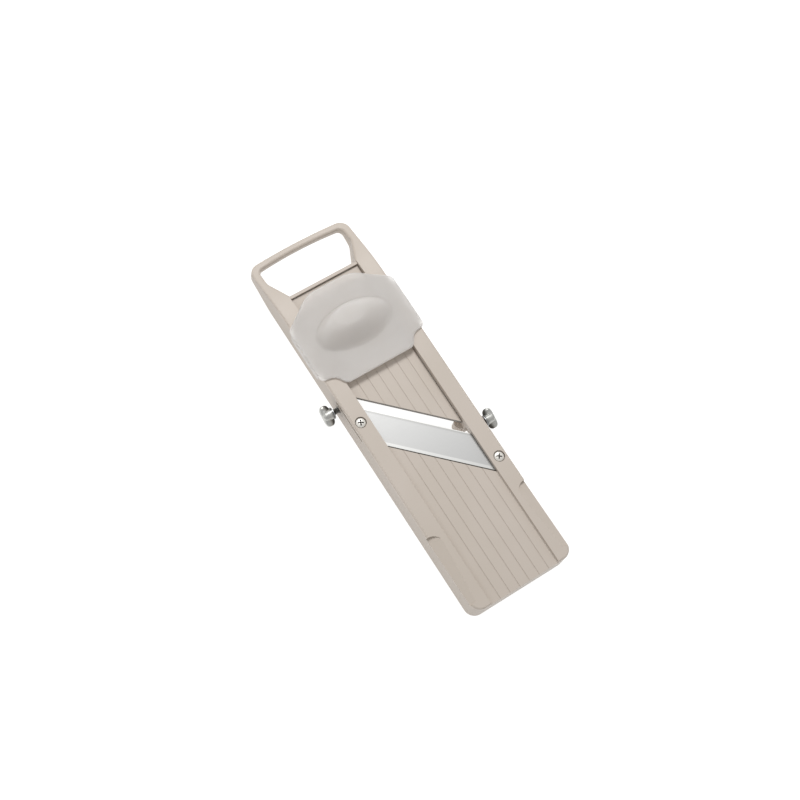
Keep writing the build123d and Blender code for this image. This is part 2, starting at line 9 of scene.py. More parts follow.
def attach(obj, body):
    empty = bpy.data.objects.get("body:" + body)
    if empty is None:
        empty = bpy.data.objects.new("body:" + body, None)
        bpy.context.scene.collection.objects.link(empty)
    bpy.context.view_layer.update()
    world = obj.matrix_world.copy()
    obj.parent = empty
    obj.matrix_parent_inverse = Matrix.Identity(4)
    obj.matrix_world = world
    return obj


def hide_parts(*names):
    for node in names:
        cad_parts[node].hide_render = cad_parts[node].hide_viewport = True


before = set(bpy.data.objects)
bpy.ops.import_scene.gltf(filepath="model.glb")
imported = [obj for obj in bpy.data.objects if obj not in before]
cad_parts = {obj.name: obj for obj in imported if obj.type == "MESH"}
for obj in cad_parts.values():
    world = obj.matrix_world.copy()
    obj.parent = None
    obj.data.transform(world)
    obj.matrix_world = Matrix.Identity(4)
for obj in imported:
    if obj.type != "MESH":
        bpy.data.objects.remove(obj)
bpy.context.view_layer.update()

# ------------------------------------------------------------------ studio and camera
# A white light table under the slicer, a high lamp from the handle end and the right that
# leaves the foot a little darker, a weaker lamp from the left, an even white sky, and a
# long lens looking down the slicer from its left.
scene = bpy.context.scene
scene.view_settings.view_transform = "Standard"


def linear(hex_colour):
    """An sRGB hex colour as linear red, green, blue and 1."""
    parts = [int(hex_colour[i:i + 2], 16) / 255 for i in (1, 3, 5)]
    out = [c / 12.92 if c <= 0.04045 else ((c + 0.055) / 1.055) ** 2.4 for c in parts]
    return (*out, 1.0)


def add(tree, kind, links=None, **settings):
    """Adds a node. settings are its properties, or numbers for its sockets when the
    name is a socket's with underscores; links are {socket: output}."""
    node = tree.nodes.new(kind)
    for name, value in settings.items():
        if hasattr(node, name):
            setattr(node, name, value)
        else:
            node.inputs[name.replace("_", " ")].default_value = value
    for name, output in (links or {}).items():
        tree.links.new(output, node.inputs[name])
    return node


VIEW_AZ, VIEW_EL, VIEW_ROLL = (math.radians(v) for v in (-54.27, 68.71, 22.62))
VIEW_AT = Vector((0.0045, 0.0118, 0.0))
VIEW_DISTANCE = 1.26161
back = Vector((
    math.sin(VIEW_AZ) * math.cos(VIEW_EL),
    -math.cos(VIEW_AZ) * math.cos(VIEW_EL),
    math.sin(VIEW_EL),
))
level = (-back).cross(Vector((0, 0, 1))).normalized()
upright = level.cross(-back)
right = math.cos(VIEW_ROLL) * level + math.sin(VIEW_ROLL) * upright
up = math.cos(VIEW_ROLL) * upright - math.sin(VIEW_ROLL) * level
camera_data = bpy.data.cameras.new("camera")
camera_data.lens = 72.0
camera_data.sensor_width = 36.0
camera_data.clip_start = 0.05
camera = bpy.data.objects.new("camera", camera_data)
scene.collection.objects.link(camera)
camera.matrix_world = Matrix.Translation(VIEW_AT + back * VIEW_DISTANCE) @ Matrix((
    (right.x, up.x, back.x, 0), (right.y, up.y, back.y, 0), (right.z, up.z, back.z, 0),
    (0, 0, 0, 1),
))
scene.camera = camera

SKY_STRENGTH = 0.45
world = bpy.data.worlds.new("studio")
world.use_nodes = True
world.node_tree.nodes["Background"].inputs["Color"].default_value = (1, 1, 1, 1)
world.node_tree.nodes["Background"].inputs["Strength"].default_value = SKY_STRENGTH
scene.world = world

for name, place, size, power in (
    ("key", (0.42, 0.85, 1.55), 0.5, 15.5),
    ("fill", (-1.3, 0.7, 1.3), 1.0, 4.0),
):
    light_data = bpy.data.lights.new(name, "AREA")
    light_data.size = size
    light_data.energy = power
    light = bpy.data.objects.new(name, light_data)
    light.location = place
    light.rotation_euler = (-Vector(place)).to_track_quat("-Z", "Y").to_euler()
    scene.collection.objects.link(light)

FLOOR_Z = -0.0004
FLOOR_HALF = 6.0
FLOOR_GREY, FLOOR_GLOW = 0.3, 0.9
CORNERS = ((-1, -1), (1, -1), (1, 1), (-1, 1))
floor_mesh = bpy.data.meshes.new("floor")
floor_mesh.from_pydata(
    [(x * FLOOR_HALF, y * FLOOR_HALF, FLOOR_Z) for x, y in CORNERS], [], [(0, 1, 2, 3)]
)
floor = bpy.data.objects.new("floor", floor_mesh)
scene.collection.objects.link(floor)
pale = bpy.data.materials.new("pale_light_table")
pale.use_nodes = True
pale_shader = pale.node_tree.nodes["Principled BSDF"]
pale_shader.inputs["Base Color"].default_value = (FLOOR_GREY, FLOOR_GREY, FLOOR_GREY, 1)
pale_shader.inputs["Roughness"].default_value = 0.9
pale_shader.inputs["Emission Color"].default_value = (1, 1, 1, 1)
pale_shader.inputs["Emission Strength"].default_value = FLOOR_GLOW
floor_mesh.materials.append(pale)


# ------------------------------------------------------------- frame and infeed plate
# Two injection mouldings in warm beige ABS. The moulds were spark eroded, so every face
# has a fine even grain, and handling has polished it unevenly. The frame's steep outer
# walls carry painted shade low down, which lowers their tone against the glow of the light
# table beside them.
BLOTCH_FADE, GRAIN_FADE = (0.35, 0.65), (0.3, 0.7)      # noise values of the two ends
SMOOTHER, ROUGHER = -0.05, 0.07
GRAIN_BUMP = 0.6


def textured(name, colour, second, roughness, grain, depth, blotch, **sockets):
    """A material for one moulded, cast or plated stock. Its colour wanders between two
    hex colours in blotches of the given size, and a finer noise of the given grain size
    moves its roughness and raises its surface by the given depth; sizes in metres."""
    made = bpy.data.materials.new(name)
    made.use_nodes = True
    tree = made.node_tree
    shader = tree.nodes["Principled BSDF"]
    for socket, value in sockets.items():
        shader.inputs[socket.replace("_", " ")].default_value = value
    place = add(tree, "ShaderNodeTexCoord")
    broad = add(
        tree, "ShaderNodeTexNoise", {"Vector": place.outputs["Object"]},
        Scale=1 / blotch, Detail=4.0,
    )
    tint = add(tree, "ShaderNodeValToRGB", {"Fac": broad.outputs["Fac"]})
    for stop, position, tone in zip(
        tint.color_ramp.elements, BLOTCH_FADE, (second, colour)
    ):
        stop.position = position
        stop.color = linear(tone)
    tree.links.new(tint.outputs["Color"], shader.inputs["Base Color"])
    fine = add(
        tree, "ShaderNodeTexNoise", {"Vector": place.outputs["Object"]},
        Scale=1 / grain, Detail=3.0,
    )
    polish = add(
        tree, "ShaderNodeMapRange", {"Value": fine.outputs["Fac"]},
        From_Min=GRAIN_FADE[0], From_Max=GRAIN_FADE[1],
        To_Min=roughness + SMOOTHER, To_Max=roughness + ROUGHER,
    )
    tree.links.new(polish.outputs["Result"], shader.inputs["Roughness"])
    relief = add(
        tree, "ShaderNodeBump", {"Height": fine.outputs["Fac"]},
        Strength=GRAIN_BUMP, Distance=depth,
    )
    tree.links.new(relief.outputs["Normal"], shader.inputs["Normal"])
    return made


def dim(made, factor):
    """Multiplies a material's colour by the number that an output gives."""
    tree = made.node_tree
    shader = tree.nodes["Principled BSDF"]
    clean = shader.inputs["Base Color"].links[0].from_socket
    scaled = add(
        tree, "ShaderNodeVectorMath", {0: clean, "Scale": factor}, operation="SCALE"
    )
    tree.links.new(scaled.outputs["Vector"], shader.inputs["Base Color"])


SLANT = 0.96        # fall along Y for each unit of X of the plate's and the blade's edges


def slant_line(tree):
    """The output SLANT times X plus Y, the same all along any line at that slant."""
    place = add(tree, "ShaderNodeTexCoord")
    axes = add(tree, "ShaderNodeSeparateXYZ", {"Vector": place.outputs["Object"]})
    line = add(
        tree, "ShaderNodeMath", {0: axes.outputs["X"], 2: axes.outputs["Y"]},
        operation="MULTIPLY_ADD",
    )
    line.inputs[1].default_value = SLANT
    return line.outputs["Value"]


def wear(node_name, made):
    """Gives a CAD node one material in every slot."""
    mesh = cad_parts[node_name].data
    mesh.materials.clear()
    mesh.materials.append(made)


ABS_LOOK = ("#CDC2B7", "#C9BEB2", 0.46, 0.0007, 0.00003, 0.06)
moulded_abs = textured("moulded_abs_beige", *ABS_LOOK)
# Below this height a face steeper than about 60 degrees gets painted shade: its colour is
# darkened to this share.
WALL_TOP, WALL_FADE, WALL_SHADE_TONE = 0.0205, 0.001, 0.86
STEEP, GENTLE = 0.35, 0.6
tree = moulded_abs.node_tree
surface = add(tree, "ShaderNodeNewGeometry")
facing = add(tree, "ShaderNodeSeparateXYZ", {"Vector": surface.outputs["Normal"]})
rise = add(tree, "ShaderNodeMath", {0: facing.outputs["Z"]}, operation="ABSOLUTE")
steep = add(
    tree, "ShaderNodeMapRange", {"Value": rise.outputs["Value"]},
    From_Min=STEEP, From_Max=GENTLE, To_Min=WALL_SHADE_TONE, To_Max=1.0,
)
spot = add(tree, "ShaderNodeTexCoord")
level_at = add(tree, "ShaderNodeSeparateXYZ", {"Vector": spot.outputs["Object"]})
painted_wall_shade = add(
    tree, "ShaderNodeMapRange",
    {"Value": level_at.outputs["Z"], "To Min": steep.outputs["Result"]},
    From_Min=WALL_TOP, From_Max=WALL_TOP + WALL_FADE, To_Max=1.0,
)
dim(moulded_abs, painted_wall_shade.outputs["Result"])
wear("frame", moulded_abs)

# The plate's slanted front edge carries a thin line of painted shade, where its edge face is
# in shadow.
EDGE_LINE, EDGE_SHADE_IN, EDGE_SHADE_OUT, EDGE_SHADE_TONE = -0.00235, 0.00035, 0.0005, 0.28
plate_abs = textured("moulded_abs_plate", *ABS_LOOK)
tree = plate_abs.node_tree
painted_edge_shade = add(
    tree, "ShaderNodeMapRange", {"Value": slant_line(tree)},
    From_Min=EDGE_LINE + EDGE_SHADE_IN, From_Max=EDGE_LINE + EDGE_SHADE_OUT,
    To_Min=EDGE_SHADE_TONE, To_Max=1.0,
)
dim(plate_abs, painted_edge_shade.outputs["Result"])
wear("infeed_plate", plate_abs)


# ------------------------------------------------------------------------------ blade
# A stainless strip, ground flat and brushed along its length, with a paler band along its
# rear edge, a line of painted shade for the shadow in the joint behind it and a bright ground
# line at the cutting edge. The brush lines are drawn coarser than real ones, so that they
# show.
BLADE_CUT, BLADE_REAR = -0.0134, -0.0485
BLADE_METAL = 0.6
BRUSH_ALONG, BRUSH_ACROSS = 60, 5200       # brush lines a metre in each direction
BRUSH_DEPTH, BRUSH_BUMP = 0.000008, 0.25
BRUSH_SMOOTH, BRUSH_ROUGH = 0.34, 0.44
# Colours across the blade, from its rear edge at 0 to its cutting edge at 1.
# The darkest colour, at the rear edge, is painted shade for the shadow in the joint.
JOINT_SHADE, EDGE_BRIGHT = "#4A4642", "#DEDDDB"
BLADE_TONES = (
    (0.014, JOINT_SHADE), (0.024, "#CDCDCB"), (0.105, "#CDCDCB"), (0.125, "#B8B8B7"),
    (0.90, "#BABAB9"), (0.965, "#A6A6A4"), (0.99, EDGE_BRIGHT),
)
brushed_steel = bpy.data.materials.new("brushed_stainless")
brushed_steel.use_nodes = True
tree = brushed_steel.node_tree
shader = tree.nodes["Principled BSDF"]
shader.inputs["Metallic"].default_value = BLADE_METAL
place = add(tree, "ShaderNodeTexCoord")
along = add(
    tree, "ShaderNodeMapping", {"Vector": place.outputs["Object"]},
    Rotation=(0, 0, math.atan(SLANT)), Scale=(BRUSH_ALONG, BRUSH_ACROSS, BRUSH_ALONG),
)
lines = add(
    tree, "ShaderNodeTexNoise", {"Vector": along.outputs["Vector"]}, Scale=1.0, Detail=3.0
)
band = add(
    tree, "ShaderNodeMapRange", {"Value": slant_line(tree)},
    From_Min=BLADE_REAR, From_Max=BLADE_CUT, To_Min=0.0, To_Max=1.0,
)
tone = add(tree, "ShaderNodeValToRGB", {"Fac": band.outputs["Result"]})
for position, colour in BLADE_TONES:
    stop = tone.color_ramp.elements.new(position)
    stop.color = linear(colour)
tone.color_ramp.elements[0].color = linear(JOINT_SHADE)
tone.color_ramp.elements[-1].color = linear(EDGE_BRIGHT)
tree.links.new(tone.outputs["Color"], shader.inputs["Base Color"])
sheen = add(
    tree, "ShaderNodeMapRange", {"Value": lines.outputs["Fac"]},
    From_Min=0.3, From_Max=0.7, To_Min=BRUSH_SMOOTH, To_Max=BRUSH_ROUGH,
)
tree.links.new(sheen.outputs["Result"], shader.inputs["Roughness"])
scratch = add(
    tree, "ShaderNodeBump", {"Height": lines.outputs["Fac"]},
    Strength=BRUSH_BUMP, Distance=BRUSH_DEPTH,
)
tree.links.new(scratch.outputs["Normal"], shader.inputs["Normal"])
wear("blade", brushed_steel)


# ------------------------------------------------------------- turned and cast metal
# The pieces below are closed surfaces worked out on grids: turned profiles, screw threads
# and swept sections. Points closer than the weld distance become one.
WELD = 1e-7


def make_piece(name, grids, made, body, node, sharp=35, shade=None):
    """One closed object from grids of points, each rows x columns x 3 in metres.
    Neighbouring points are joined by quads and each grid's last column to its first.
    Points that coincide are welded, so a row shrunk to a point closes an end. It rides on
    the body, wears the material and stands for the CAD node. shade is one number a point."""
    points = np.concatenate([grid.reshape(-1, 3) for grid in grids])
    faces = []
    start = 0
    for grid in grids:
        rows, columns = grid.shape[:2]
        index = start + np.arange(rows * columns).reshape(rows, columns)
        after = np.roll(index, -1, axis=1)
        quads = np.stack([index[:-1], after[:-1], after[1:], index[1:]], axis=-1)
        faces.append(quads.reshape(-1, 4))
        start += rows * columns
    mesh = bpy.data.meshes.new(name)
    mesh.from_pydata(points.tolist(), [], np.concatenate(faces).tolist())
    if shade is not None:
        layer = mesh.attributes.new("shade", "FLOAT", "POINT")
        layer.data.foreach_set("value", np.concatenate([s.ravel() for s in shade]))
    weld = bmesh.new()
    weld.from_mesh(mesh)
    bmesh.ops.remove_doubles(weld, verts=weld.verts, dist=WELD)
    bmesh.ops.recalc_face_normals(weld, faces=weld.faces)
    weld.to_mesh(mesh)
    weld.free()
    mesh.shade_smooth()
    mesh.set_sharp_from_angle(angle=math.radians(sharp))
    mesh.materials.append(made)
    piece = bpy.data.objects.new(name, mesh)
    scene.collection.objects.link(piece)
    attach(piece, body)
    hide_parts(node)


def stand(points, origin, axis):
    """Points modelled about +Z, set at the origin with their +Z along an axis."""
    axis = np.array(axis, float)
    across = np.array((0.0, 1.0, 0.0)) if abs(axis[0]) > 0.5 else np.array((1.0, 0.0, 0.0))
    third = np.cross(axis, across)
    return (
        np.array(origin) + points[..., :1] * across + points[..., 1:2] * third
        + points[..., 2:] * axis
    )


def turned(profile, columns=64, outline=None):
    """The profile's (radius, height) rows spun about Z. outline(angle) is the largest
    radius allowed at each angle, which cuts flats or flutes into the wider rows."""
    angle = np.linspace(0, 2 * np.pi, columns, endpoint=False)
    profile = np.array(profile, float)
    radius = profile[:, :1] * np.ones(columns)
    if outline is not None:
        radius = np.minimum(radius, outline(angle))
    return np.stack(
        [radius * np.cos(angle), radius * np.sin(angle), profile[:, 1:] * np.ones(columns)],
        axis=-1,
    )


END_CONE = 1.4                  # how far a thread's end is cut back, in thread depths


def threaded(radius, low, high, pitch, depth, columns=40, per_turn=8):
    """A right-hand thread between two heights: the radius drops by depth times a
    triangle wave of height over pitch minus angle over a full turn, and both ends are
    cut back to a cone by the distance to the nearer end."""
    angle = np.linspace(0, 2 * np.pi, columns, endpoint=False)
    rows = int((high - low) / pitch * per_turn) + 2
    height = np.linspace(low, high, rows)[:, None] * np.ones(columns)
    turn = height / pitch - angle / (2 * np.pi)
    wave = np.abs(2 * (turn - np.floor(turn)) - 1)
    size = radius - depth * wave
    end = np.minimum(height - low, high - height)
    size = np.minimum(size, radius - END_CONE * depth + end)
    body = np.stack([size * np.cos(angle), size * np.sin(angle), height], axis=-1)
    bottom, top = np.zeros((2, 1, columns, 3))
    bottom[..., 2], top[..., 2] = low, high
    return np.concatenate([bottom, body, top])


def hexagon(across):
    """The outline of a hexagon of this width across its flats."""
    def outline(angle):
        return across / 2 / np.cos((angle + np.pi / 6) % (np.pi / 3) - np.pi / 6)
    return outline


# ---------------------------------------------------------------- blade screws and nuts
# Two M4 pan heads with a cross recess, nickel plated, sunk in counterbores in the rails;
# plain zinc-plated hexagon nuts hold them from below.
BLADE_SCREWS = (
    ("left", (-0.03905, 0.0064), -0.45), ("right", (0.03905, -0.0708), -0.60),
)
PAN_R, PAN_H, PAN_SEAT = 0.004, 0.0023, 0.0209
M4_R, M4_LOW, M4_PITCH = 0.002, 0.0095, 0.0007
M4_NUT = (0.0070, 0.0032, 0.0105)      # across flats, height, underside
M4_THREAD = 0.00035
CROSS_W, CROSS_L, CROSS_D = 0.00105, 0.0048, 0.0011
CROSS_SLOPE = 0.00028           # run from the recess's rim to its floor
PAN_FALL, PAN_CAP = 0.34, 0.97  # drop of the top at its rim, and how far out it reaches
RING_SHADE = 0.55                # below this share of its height the head's side gets painted shade
CROWN_ROWS = 56


def shaded(made, *stops):
    """Colours a material by its piece's shade attribute, from (value, colour) stops."""
    tree = made.node_tree
    shader = tree.nodes["Principled BSDF"]
    shade = add(tree, "ShaderNodeAttribute", attribute_name="shade")
    tone = add(tree, "ShaderNodeValToRGB", {"Fac": shade.outputs["Fac"]})
    for stop, (position, colour) in zip(tone.color_ramp.elements, stops):
        stop.position = position
        stop.color = linear(colour)
    tree.links.new(tone.outputs["Color"], shader.inputs["Base Color"])


nickel = textured(
    "nickel_plated_steel", "#E6E2DB", "#DCD7CF", 0.36, 0.0009, 0.000006, 0.004, Metallic=0.4
)
# Painted shade: the cross recess and the lower part of each head's side are coloured dark, as
# shade falls in the recess and the counterbore.
shaded(nickel, (0.15, "#EFECE5"), (0.6, "#2B2723"))
zinc_plate = textured(
    "zinc_plated_steel", "#B9BABB", "#A5A7AA", 0.32, 0.0006, 0.00001, 0.003, Metallic=1.0
)


def pan_head(turn, columns=128):
    """A pan head from its pole to its underside, and how much painted shade each point gets:
    the cross recess and the lower part of the side are painted dark. The top falls with the
    cube of the radius; the cross recess is the deeper of two slots whose depth grows with
    distance inside their outlines until it meets the floor."""
    angle = np.linspace(0, 2 * np.pi, columns, endpoint=False)
    radius = PAN_R * PAN_CAP * np.linspace(0, 1, CROWN_ROWS)[:, None] * np.ones(columns)
    x, y = radius * np.cos(angle - turn), radius * np.sin(angle - turn)
    slots = [
        np.minimum(CROSS_W / 2 - np.abs(a), CROSS_L / 2 - np.abs(b))
        for a, b in ((x, y), (y, x))
    ]
    inside = np.clip(np.maximum(*slots) / CROSS_SLOPE, 0, 1)
    top = PAN_H * (1 - PAN_FALL * (radius / PAN_R) ** 3) - CROSS_D * inside
    cap = np.stack([radius * np.cos(angle), radius * np.sin(angle), top], axis=-1)
    side = turned([
        (PAN_R * 0.99, PAN_H * 0.60), (PAN_R, PAN_H * 0.50), (PAN_R, PAN_H * 0.10),
        (PAN_R * 0.98, 0.0), (M4_R * 0.9, 0.0), (0.0, 0.0),
    ], columns)
    ring = np.where(side[..., 2] < PAN_H * RING_SHADE, 1.0, 0.0)
    return np.concatenate([cap, side]), np.concatenate([inside, ring])


NUT_SINK = 0.0004               # countersink at each end of a nut's bore
NUT_FACE, NUT_SLOPE = 0.95, 0.6  # share of a nut's face left flat, slope of its chamfer


def hex_nut(across, height, bore):
    """A hexagon nut: chamfered outside at both faces and countersunk at both bores."""
    corner = across / 2 / math.cos(math.pi / 6)
    chamfer = (corner - across / 2) * NUT_SLOPE
    face = across / 2 * NUT_FACE
    rows = [
        (bore, NUT_SINK), (bore + NUT_SINK, 0.0), (face, 0.0), (corner, chamfer),
        (corner, height - chamfer), (face, height), (bore + NUT_SINK, height),
        (bore, height - NUT_SINK), (bore, NUT_SINK),
    ]
    return turned(rows, 96, hexagon(across))


for side, (x, y), turn in BLADE_SCREWS:
    head, head_shade = pan_head(turn)
    shank = threaded(M4_R, M4_LOW, PAN_SEAT, M4_PITCH, M4_THREAD)
    make_piece(
        f"screw_{side}",
        [stand(head, (x, y, PAN_SEAT), (0, 0, 1)), stand(shank, (x, y, 0), (0, 0, 1))],
        nickel, "frame", f"blade_screw_{side}",
        shade=[head_shade, np.zeros(shank.shape[:2])],
    )
    across, height, under = M4_NUT
    make_piece(
        f"screw_nut_{side}", [stand(hex_nut(across, height, M4_R), (x, y, under), (0, 0, 1))],
        zinc_plate, "frame", f"blade_nut_{side}",
    )


# ------------------------------------------------------------------------ wing screws
# Two M5 studs, each cast into a wing of grey zinc that was tumbled, not polished: a round
# hub with two thick ears, painted bright on the outer side and painted dark, for the rail's
# shadow, on the side next to the rail.
# A plain washer sits under each wing, a hexagon nut inside the rail.
THUMBS = (("left", -1, 0.0265, 0.0515), ("right", 1, -0.0395, 0.0496))
THUMB_Z, M5_R, M5_PITCH = 0.012, 0.0025, 0.0008
STUD_IN, STUD_OUT = 0.016, 0.003
M5_THREAD = 0.0004
HUB_R, HUB_L, WING_TILT = 0.0045, 0.0082, 0.34
HUB_FOOT = ((0.0003, 0), (0, 0.0003))          # inset from the hub's radius, height
HUB_END = ((0.0003, 0.0026), (0.0006, 0.0014), (0.0014, 0.0005), (0.0026, 0))
HUB_DARK, HUB_BRIGHTER = 0.35, 0.6             # painted shade at the hub's foot by the rail, and how much it lightens towards its end
# The ear's outline at stations out from the screw's axis: its inner and outer edges along
# the axis, and its half thickness.
EAR_HALF, EAR_CROWD, EAR_SQUARE = 0.0086, 1.6, 0.6   # crowding of stations at the tips
EAR_INNER_THICK, EAR_SWELL = 0.35, 1.7              # thickness share at the rail side
EAR_AT = np.array((0, 3.0, 5.2, 7.0, 8.0, 8.4, 8.6)) * 1e-3
EAR_INNER = np.array((0.0, 0.0, 0.3, 1.0, 2.0, 2.8, 4.4)) * 1e-3
EAR_OUTER = np.array((8.3, 8.4, 8.3, 7.7, 6.8, 6.0, 4.4)) * 1e-3
EAR_THICK = np.array((3.6, 2.7, 2.35, 2.4, 2.0, 1.5, 0.0)) * 1e-3
M5_NUT_X, M5_NUT = 0.038, (0.008, 0.004)      # across flats, height
WASHER_R, WASHER_T, WASHER_EDGE, WASHER_BACK = 0.0049, 0.00095, 0.0002, 0.001
cast_zinc = textured(
    "cast_zinc", "#A9A9A6", "#9A9A97", 0.42, 0.0005, 0.00004, 0.003, Metallic=0.85
)
# Painted light and shade: the shade attribute runs from the rail side, coloured dark for the
# rail's shadow, to the outer side, coloured bright.
shaded(cast_zinc, (0.22, "#5C5B58"), (0.50, "#CDCDC9"))
stud_steel = textured(
    "threaded_steel", "#8B8A87", "#6E6C68", 0.38, 0.0005, 0.00001, 0.002, Metallic=1.0
)


def superellipse(columns, power):
    """Points of a unit superellipse: cosine and sine, each raised to the power with its
    sign kept. Below 1 the section grows squarer."""
    angle = np.linspace(0, 2 * np.pi, columns, endpoint=False)
    return [np.sign(v) * np.abs(v) ** power for v in (np.cos(angle), np.sin(angle))]


def wing_ears(rows=90, columns=56):
    """Both ears as one lobe along Y. At each station the section is a superellipse
    between an inner and an outer edge interpolated from the ear's outline; its half
    thickness grows from the rail side outward, and both ends shrink to a point."""
    way = np.linspace(-1, 1, rows)
    station = EAR_HALF * np.sign(way) * (1 - (1 - np.abs(way)) ** EAR_CROWD)
    inner, outer, thick = (
        np.interp(np.abs(station), EAR_AT, v) for v in (EAR_INNER, EAR_OUTER, EAR_THICK)
    )
    a, b = superellipse(columns, EAR_SQUARE)
    share = (a + 1) / 2
    out = inner[:, None] + (outer - inner)[:, None] * share
    swell = np.minimum(1, share * EAR_SWELL)
    lift = thick[:, None] * b * (EAR_INNER_THICK + (1 - EAR_INNER_THICK) * swell)
    side = station[:, None] * np.ones(columns)
    return np.stack([side, lift, out], axis=-1), share * np.ones((rows, 1))


for name, side, y, hub in THUMBS:
    middle, axis = (side * hub, y, THUMB_Z), (side, 0, 0)
    stud = stand(threaded(M5_R, -STUD_IN, STUD_OUT, M5_PITCH, M5_THREAD), middle, axis)
    make_piece(
        f"stud_{name}", [stud], stud_steel, f"thumb_screw_{name}",
        f"thumb_stud_{name}",
    )
    ears, share = wing_ears()
    tilt = math.atan(WING_TILT) * side
    tilted = np.stack([
        ears[..., 0] * math.cos(tilt) - ears[..., 1] * math.sin(tilt),
        ears[..., 0] * math.sin(tilt) + ears[..., 1] * math.cos(tilt), ears[..., 2],
    ], axis=-1)
    hub_rows = turned([
        (0, 0), *((HUB_R - inset, height) for inset, height in HUB_FOOT),
        *((HUB_R - inset, HUB_L - drop) for inset, drop in HUB_END), (0, HUB_L),
    ])
    hub_shade = HUB_DARK + HUB_BRIGHTER * np.clip(hub_rows[..., 2] / HUB_L, 0, 1)
    make_piece(
        f"wing_{name}", [stand(tilted, middle, axis), stand(hub_rows, middle, axis)],
        cast_zinc, f"thumb_screw_{name}", f"thumb_wing_{name}",
        shade=[share, hub_shade],
    )
    washer = turned([
        (M5_R, 0), (WASHER_R - WASHER_EDGE, 0), (WASHER_R, WASHER_EDGE),
        (WASHER_R, WASHER_T - WASHER_EDGE), (WASHER_R - WASHER_EDGE, WASHER_T),
        (M5_R, WASHER_T), (M5_R, 0),
    ])
    make_piece(
        f"washer_{name}", [stand(washer, (side * (hub - WASHER_BACK), y, THUMB_Z), axis)],
        zinc_plate, f"thumb_washer_{name}", f"thumb_washer_{name}",
    )
    nut = hex_nut(*M5_NUT, M5_R)
    make_piece(
        f"wing_nut_{name}", [stand(nut, (side * M5_NUT_X, y, THUMB_Z), axis)],
        zinc_plate, "frame", f"thumb_nut_{name}",
    )


# ------------------------------------------------------------------- adjusting screw
# An M5 steel rod through a nut in the bridge, with a fluted knob of the frame's ABS pressed
# on below and a turned brass cap that swivels on its top and bears under the plate.
ADJUST = (0.0, 0.040, 0.0)
ROD_LOW, ROD_SHOULDER, NECK_R, NECK_TOP = 0.003, 0.0128, 0.0015, 0.0147
NECK_ROOT, NECK_EDGE = 0.0005, 0.0002
KNOB_R, KNOB_LOW, KNOB_TOP = 0.012, 0.003, 0.0069
FLUTES, FLUTE_DEPTH, FLUTE_ROUND = 20, 0.0006, 0.7
# The knob's lower face has a groove and a rounded edge: inset from its radius, height.
KNOB_FOOT = (
    (0.0030, 0), (0.0026, 0.0003), (0.0012, 0.0003), (0.0008, 0), (0.0004, 0.0001),
    (0, 0.0006),
)
KNOB_HEAD = ((0, 0.0006), (0.0004, 0.0001), (0.0012, 0))     # the same below its top
THIN_NUT = (0.008, 0.0027, 0.0082)      # across flats, height, underside
PLAY = 0.00008                  # gap round the rod in its nut and in its cap
CAP_R, CAP_BORE, CAP_LOW, CAP_TOP, CAP_ROUND = 0.0034, NECK_R + PLAY, 0.0129, 0.01535, 0.001
rod = threaded(M5_R, ROD_LOW, ROD_SHOULDER, M5_PITCH, M5_THREAD)
neck = turned([
    (0, ROD_SHOULDER - NECK_ROOT), (NECK_R, ROD_SHOULDER - NECK_ROOT),
    (NECK_R, NECK_TOP - NECK_EDGE), (NECK_R - NECK_EDGE, NECK_TOP), (0, NECK_TOP),
])
make_piece(
    "rod", [stand(rod, ADJUST, (0, 0, 1)), stand(neck, ADJUST, (0, 0, 1))], stud_steel,
    "adjusting_screw", "adjusting_rod",
)


def fluted(angle):
    """The knob's outline: its radius less the rounded flutes."""
    return KNOB_R - FLUTE_DEPTH * np.clip(np.cos(FLUTES * angle), 0, 1) ** FLUTE_ROUND


knob = turned([
    (M5_R, KNOB_LOW), *((KNOB_R - inset, KNOB_LOW + rise) for inset, rise in KNOB_FOOT),
    *((KNOB_R - inset, KNOB_TOP - drop) for inset, drop in KNOB_HEAD), (M5_R, KNOB_TOP),
    (M5_R, KNOB_LOW),
], 240, fluted)
make_piece(
    "knob", [stand(knob, ADJUST, (0, 0, 1))], moulded_abs, "adjusting_screw",
    "adjusting_knob",
)
across, height, under = THIN_NUT
make_piece(
    "bridge_nut",
    [stand(hex_nut(across, height, M5_R + PLAY), (0, ADJUST[1], under), (0, 0, 1))],
    zinc_plate, "frame", "adjusting_nut",
)
turned_brass = textured(
    "turned_brass", "#C2A86C", "#B0955A", 0.28, 0.0004, 0.00001, 0.002, Metallic=1.0
)
cap_edge = [
    (CAP_R - CAP_ROUND * (1 - math.cos(a)), CAP_TOP - CAP_ROUND * (1 - math.sin(a)))
    for a in np.linspace(0, np.pi / 2, 9)
]
cap = turned([
    (CAP_BORE, CAP_LOW), (CAP_R, CAP_LOW), *cap_edge, (0, CAP_TOP), (0, NECK_TOP + PLAY),
    (CAP_BORE, NECK_TOP + PLAY), (CAP_BORE, CAP_LOW),
])
make_piece(
    "cap", [stand(cap, ADJUST, (0, 0, 1))], turned_brass, "adjusting_cap",
    "adjusting_tip",
)

# -------------------------------------------------------------------------- hinge pin
# A straight stainless pin through the plate's thick edge, its ends chamfered.
PIN_R, PIN_HALF, PIN_EDGE, PIN_AT = 0.0015, 0.034, 0.0003, (0.0, 0.1174, 0.0161)
drawn_steel = textured(
    "drawn_stainless", "#BDBDBC", "#B0B0B0", 0.25, 0.0008, 0.00001, 0.005, Metallic=1.0
)
pin = turned([
    (0, -PIN_HALF), (PIN_R - PIN_EDGE, -PIN_HALF), (PIN_R, PIN_EDGE - PIN_HALF),
    (PIN_R, PIN_HALF - PIN_EDGE), (PIN_R - PIN_EDGE, PIN_HALF), (0, PIN_HALF),
], 40)
make_piece(
    "pin", [stand(pin, PIN_AT, (1, 0, 0))], drawn_steel, "frame", "hinge_pin"
)

